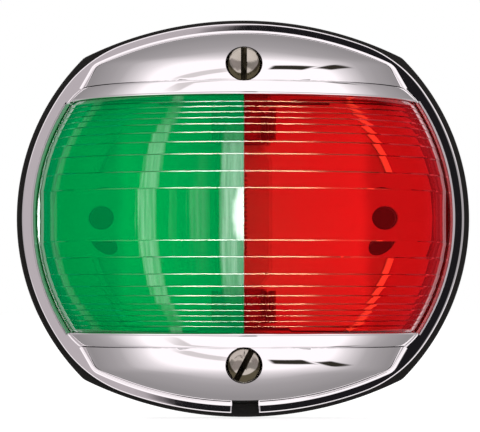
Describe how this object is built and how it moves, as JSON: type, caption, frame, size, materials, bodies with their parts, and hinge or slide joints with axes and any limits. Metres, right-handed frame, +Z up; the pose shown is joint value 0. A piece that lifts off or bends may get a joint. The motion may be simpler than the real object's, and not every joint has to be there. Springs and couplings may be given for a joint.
{
  "type": "navigation light",
  "caption": "Surface-mounted bi-colour navigation light with a faceted green and red drum lens, chromed hooded cover, black base and festoon lamp.",
  "frame": {"origin": "centre of the light on its back face, where it meets the hull", "axes": "+Y points into the hull, -Y forward out of the lens, +Z up, +X to the viewer's right, the red side"},
  "size_m": [0.0856, 0.0413, 0.075],
  "materials": {
    "chrome": "bright chrome plate on cast zinc",
    "black_plastic": "moulded, fine grain",
    "white_plastic": "gloss white reflector",
    "rubber": "closed-cell sponge rubber",
    "nitrile": "smooth seal",
    "green_lens": "clear moulded acrylic, green",
    "red_lens": "clear moulded acrylic, red",
    "brass": "sheet and turned brass",
    "nickel": "nickel plate",
    "steel": "stainless, turned",
    "nylon": "natural nylon",
    "lamp_glass": "clear drawn glass",
    "tungsten": "drawn wire",
    "red_wire": "PVC insulation",
    "black_wire": "PVC insulation"
  },
  "bodies": {
    "base": {"hull_gasket": "rubber", "base_housing": "black_plastic", "wire_grommet": "rubber", "lens_seal": "nitrile", "reflector_plate": "white_plastic", "lamp_contact_top": "brass", "lamp_contact_bottom": "brass", "contact_rivet_top": "brass", "contact_rivet_bottom": "brass", "wire_terminal_top": "nickel", "wire_terminal_bottom": "nickel", "threaded_insert_top": "brass", "threaded_insert_bottom": "brass", "wire_positive": "red_wire", "wire_negative": "black_wire"},
    "cover": {"chrome_cover": "chrome"},
    "lens": {"lens_green": "green_lens", "lens_red": "red_lens"},
    "lamp": {"lamp_glass": "lamp_glass", "lamp_filament": "tungsten", "lamp_cap_top": "nickel", "lamp_cap_bottom": "nickel"},
    "screw_top": {"cover_screw_top": "steel"},
    "screw_bottom": {"cover_screw_bottom": "steel"},
    "washer_top": {"screw_washer_top": "nylon"},
    "washer_bottom": {"screw_washer_bottom": "nylon"}
  },
  "joints": [
    {"name": "cover_lift", "type": "slide", "parent": "base", "child": "cover", "axis": [0, -1, 0], "range_m": [0, 0.06]},
    {"name": "lens_lift", "type": "slide", "parent": "base", "child": "lens", "axis": [0, -1, 0], "range_m": [0, 0.036]},
    {"name": "lamp_pull", "type": "slide", "parent": "base", "child": "lamp", "axis": [0, -1, 0], "range_m": [0, 0.0062]},
    {"name": "screw_top_rise", "type": "slide", "parent": "cover", "child": "washer_top", "axis": [0, -1, 0], "range_m": [0, 0.00715]},
    {"name": "screw_top_turn", "type": "hinge", "parent": "washer_top", "child": "screw_top", "pos_m": [0, -0.033, 0.0273], "axis": [0, -1, 0], "range_deg": [0, 3240]},
    {"name": "screw_bottom_rise", "type": "slide", "parent": "cover", "child": "washer_bottom", "axis": [0, -1, 0], "range_m": [0, 0.00715]},
    {"name": "screw_bottom_turn", "type": "hinge", "parent": "washer_bottom", "child": "screw_bottom", "pos_m": [0, -0.033, -0.0273], "axis": [0, -1, 0], "range_deg": [0, 3240]}
  ],
  "couplings": [
    {"joint": "lens_lift", "follows": "cover_lift", "ratio": 0.6},
    {"joint": "screw_top_turn", "follows": "screw_top_rise", "rad_per_m": 7913.3},
    {"joint": "screw_bottom_turn", "follows": "screw_bottom_rise", "rad_per_m": 7913.3}
  ]
}
